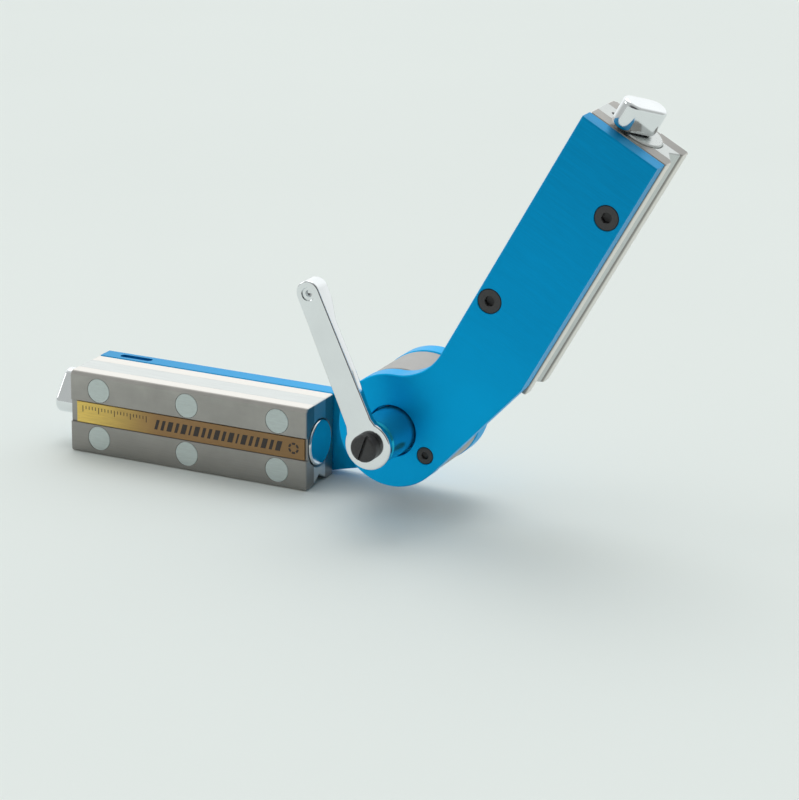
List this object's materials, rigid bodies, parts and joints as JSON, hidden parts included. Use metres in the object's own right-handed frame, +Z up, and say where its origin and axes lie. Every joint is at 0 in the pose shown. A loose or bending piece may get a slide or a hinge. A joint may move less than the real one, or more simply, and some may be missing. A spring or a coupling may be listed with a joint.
{
  "type": "welding magnet holder",
  "caption": "Adjustable-angle welding magnet holder: two switchable magnet bars with vee-grooved faces, hinged on a drum and held by a clamp lever.",
  "frame": {"origin": "bottom centre of the bounding box, on the lower bar's working plane", "axes": "+X along the lower bar towards the hinge and the raised arm, +Y away from the clamp lever along the hinge axis, +Z up"},
  "size_m": [0.2858, 0.0728, 0.1858],
  "materials": {
    "ground_steel": "satin ground",
    "spacer_alloy": "satin",
    "bolt_alloy": "satin",
    "blue_anodised": "satin anodised",
    "chrome": "polished",
    "black_oxide": "black oxide",
    "label_gold": "printed foil",
    "magnet": "plated",
    "drum_steel": "turned",
    "bush_steel": "satin turned",
    "brass": "satin"
  },
  "bodies": {
    "lower_arm": {"lower_label_pole": "ground_steel", "lower_plate_pole": "ground_steel", "lower_back_spacer": "spacer_alloy", "lower_vee_spacer": "spacer_alloy", "lower_tie_bolt_1": "bolt_alloy", "lower_tie_bolt_2": "bolt_alloy", "lower_tie_bolt_3": "bolt_alloy", "lower_tie_bolt_4": "bolt_alloy", "lower_tie_bolt_5": "bolt_alloy", "lower_tie_bolt_6": "bolt_alloy", "lower_label_plate": "label_gold", "lower_bearing_bush": "bush_steel", "lower_detent_plunger": "black_oxide", "lower_side_plate": "blue_anodised", "lower_plate_screw_1": "black_oxide", "lower_plate_screw_2": "black_oxide", "lower_hinge_screw": "black_oxide", "hinge_drum": "drum_steel", "friction_washer": "brass", "thrust_washer": "brass", "clamp_stud": "black_oxide"},
    "upper_arm": {"upper_label_pole": "ground_steel", "upper_plate_pole": "ground_steel", "upper_back_spacer": "spacer_alloy", "upper_vee_spacer": "spacer_alloy", "upper_tie_bolt_1": "bolt_alloy", "upper_tie_bolt_2": "bolt_alloy", "upper_tie_bolt_3": "bolt_alloy", "upper_tie_bolt_4": "bolt_alloy", "upper_tie_bolt_5": "bolt_alloy", "upper_tie_bolt_6": "bolt_alloy", "upper_label_plate": "label_gold", "upper_bearing_bush": "bush_steel", "upper_detent_plunger": "black_oxide", "upper_side_plate": "blue_anodised", "upper_plate_screw_1": "black_oxide", "upper_plate_screw_2": "black_oxide", "upper_hinge_screw": "black_oxide"},
    "clamp_lever": {"clamp_hub": "blue_anodised", "hub_set_screw": "black_oxide", "lever_screw": "black_oxide", "clamp_lever": "chrome"},
    "lower_rotor": {"lower_rotor_magnet": "magnet", "lower_rotor_end_disc": "chrome", "lower_knob": "chrome", "lower_knob_pin": "black_oxide"},
    "upper_rotor": {"upper_rotor_magnet": "magnet", "upper_rotor_end_disc": "chrome", "upper_knob": "chrome", "upper_knob_pin": "black_oxide"}
  },
  "joints": [
    {"name": "arm_hinge", "type": "hinge", "parent": "lower_arm", "child": "upper_arm", "pos_m": [0.03147, 0.01355, 0.0381], "axis": [0, 1, 0], "range_deg": [-96.9, 156.1]},
    {"name": "lever_turn", "type": "hinge", "parent": "lower_arm", "child": "clamp_lever", "pos_m": [0.03147, -0.01645, 0.0381], "axis": [0, -1, 0], "range_deg": [0, 90]},
    {"name": "lower_knob_turn", "type": "hinge", "parent": "lower_arm", "child": "lower_rotor", "pos_m": [-0.06853, 0.01505, 0.01835], "axis": [-1, 0, 0], "range_deg": [0, 180]},
    {"name": "upper_knob_turn", "type": "hinge", "parent": "upper_arm", "child": "upper_rotor", "pos_m": [0.09709, 0.01205, 0.1161], "axis": [0.4833, 0, 0.8755], "range_deg": [0, 180]}
  ]
}
